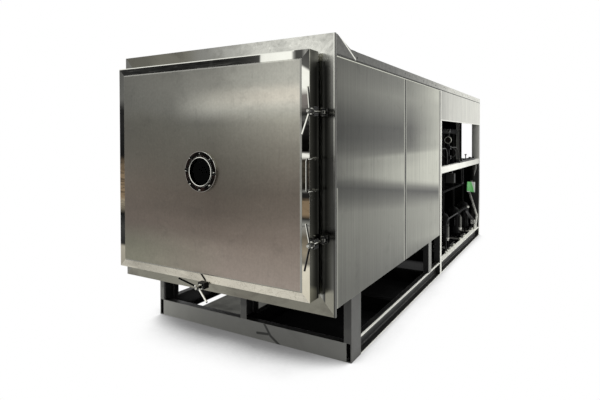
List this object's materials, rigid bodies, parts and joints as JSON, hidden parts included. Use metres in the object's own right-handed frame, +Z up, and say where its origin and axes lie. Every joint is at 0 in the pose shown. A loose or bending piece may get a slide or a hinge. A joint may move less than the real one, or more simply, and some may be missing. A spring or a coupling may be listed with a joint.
{
  "type": "freeze dryer",
  "caption": "Box-chamber freeze dryer: a bolted, side-hung rectangular door with a round sight glass, sheet-clad vacuum chamber, channel-steel base and an open machine bay behind.",
  "frame": {"origin": "on the floor under the middle of the overall box, door shut", "axes": "+X to the right as one faces the door, +Y to the rear, +Z up"},
  "size_m": [1.792, 4.9803, 2.026],
  "materials": {
    "base_paint": "satin grey paint on rolled steel",
    "frame_steel": "dull mill-finish tube",
    "chamber_steel": "dull mill finish",
    "polished_steel": "mirror-polished stainless steel",
    "brushed_sheet": "brushed stainless sheet, fine vertical grain",
    "brushed_panel": "brushed stainless plate with a warm cast",
    "dark_sheet": "matt dark paint",
    "shelf_plate": "anodised",
    "seal_rubber": "moulded rubber",
    "hose_braid": "braided steel",
    "sight_glass": "clear thick glass before a dark chamber",
    "fastener": "turned steel, dull",
    "blackened_steel": "black oxide",
    "black_paint": "satin black paint",
    "vessel_paint": "dark grey paint",
    "pump_paint": "grey-blue machine paint",
    "pipe_lagging": "black foam lagging",
    "hose_jacket": "grey plastic jacket",
    "box_paint": "grey paint",
    "pointer": "red"
  },
  "bodies": {
    "cabinet": {"base_beams": "base_paint", "cross_beams": "base_paint", "front_posts": "base_paint", "middle_posts": "base_paint", "bay_frame": "frame_steel", "panel_frame": "frame_steel", "chamber_cradle": "base_paint", "chamber_shell": "chamber_steel", "chamber_ribs": "chamber_steel", "chamber_collar": "polished_steel", "door_gasket": "seal_rubber", "shelf_rack": "chamber_steel", "heating_shelves": "shelf_plate", "shelf_manifolds": "chamber_steel", "shelf_hoses": "hose_braid", "trap_baffle": "chamber_steel", "cold_trap_coils": "chamber_steel", "coil_supports": "chamber_steel", "fascia_frame": "brushed_sheet", "side_panels_front": "brushed_sheet", "side_panels_middle": "brushed_sheet", "bay_headers": "brushed_sheet", "trim_strips": "brushed_sheet", "roof_panels": "brushed_sheet", "rear_panels": "dark_sheet", "panel_screws": "fastener", "hinge_brackets": "chamber_steel", "clamp_brackets": "blackened_steel", "pivot_pins": "fastener", "compressors": "black_paint", "condenser": "vessel_paint", "oil_separators": "vessel_paint", "vacuum_pump": "pump_paint", "vacuum_pipe": "chamber_steel", "refrigerant_pipes": "pipe_lagging", "bay_hoses": "hose_jacket", "electric_box": "box_paint", "gauge_set": "black_paint"},
    "door": {"door_casing": "polished_steel", "door_plate": "chamber_steel", "door_ribs": "chamber_steel", "door_panel": "brushed_panel", "sight_flange": "polished_steel", "sight_gaskets": "seal_rubber", "sight_glass": "sight_glass", "sight_cover": "polished_steel", "sight_bolts": "fastener", "door_handle": "polished_steel", "clamp_lugs": "blackened_steel", "hinge_leaves": "chamber_steel"},
    "bolt_upper": {"swing_bolt_upper": "fastener"},
    "washer_upper": {"washer_upper": "fastener"},
    "nut_upper": {"hand_nut_upper": "fastener"},
    "bolt_lower": {"swing_bolt_lower": "fastener"},
    "washer_lower": {"washer_lower": "fastener"},
    "nut_lower": {"hand_nut_lower": "fastener"},
    "bolt_bottom": {"swing_bolt_bottom": "fastener"},
    "washer_bottom": {"washer_bottom": "fastener"},
    "nut_bottom": {"hand_nut_bottom": "fastener"},
    "pointer": {"gauge_pointer": "pointer"}
  },
  "joints": [
    {"name": "door_swing", "type": "hinge", "parent": "cabinet", "child": "door", "pos_m": [-0.835, -2.327, 0], "axis": [0, 0, -1], "range_deg": [0, 120]},
    {"name": "clamp_swing_upper", "type": "hinge", "parent": "cabinet", "child": "bolt_upper", "pos_m": [0.826, -2.275, 1.56522], "axis": [0, 0, 1], "range_deg": [0, 95]},
    {"name": "washer_slide_upper", "type": "slide", "parent": "bolt_upper", "child": "washer_upper", "axis": [0, -1, 0], "range_m": [0, 0.0051]},
    {"name": "nut_spin_upper", "type": "hinge", "parent": "washer_upper", "child": "nut_upper", "pos_m": [0.826, -2.275, 1.56522], "axis": [0, -1, 0], "range_deg": [0, 720]},
    {"name": "clamp_swing_lower", "type": "hinge", "parent": "cabinet", "child": "bolt_lower", "pos_m": [0.826, -2.275, 0.81723], "axis": [0, 0, 1], "range_deg": [0, 95]},
    {"name": "washer_slide_lower", "type": "slide", "parent": "bolt_lower", "child": "washer_lower", "axis": [0, -1, 0], "range_m": [0, 0.0051]},
    {"name": "nut_spin_lower", "type": "hinge", "parent": "washer_lower", "child": "nut_lower", "pos_m": [0.826, -2.275, 0.81723], "axis": [0, -1, 0], "range_deg": [0, 720]},
    {"name": "clamp_swing_bottom", "type": "hinge", "parent": "cabinet", "child": "bolt_bottom", "pos_m": [0, -2.275, 0.449], "axis": [1, 0, 0], "range_deg": [0, 95]},
    {"name": "washer_slide_bottom", "type": "slide", "parent": "bolt_bottom", "child": "washer_bottom", "axis": [0, -1, 0], "range_m": [0, 0.0051]},
    {"name": "nut_spin_bottom", "type": "hinge", "parent": "washer_bottom", "child": "nut_bottom", "pos_m": [0, -2.275, 0.449], "axis": [0, -1, 0], "range_deg": [0, 720]},
    {"name": "gauge_turn", "type": "hinge", "parent": "cabinet", "child": "pointer", "pos_m": [0.79, 0.986, 1.38], "axis": [0, 1, 0], "range_deg": [-135, 135]}
  ],
  "couplings": [
    {"joint": "washer_slide_upper", "follows": "nut_spin_upper", "m_per_rad": 0.000398},
    {"joint": "washer_slide_lower", "follows": "nut_spin_lower", "m_per_rad": 0.000398},
    {"joint": "washer_slide_bottom", "follows": "nut_spin_bottom", "m_per_rad": 0.000398}
  ]
}
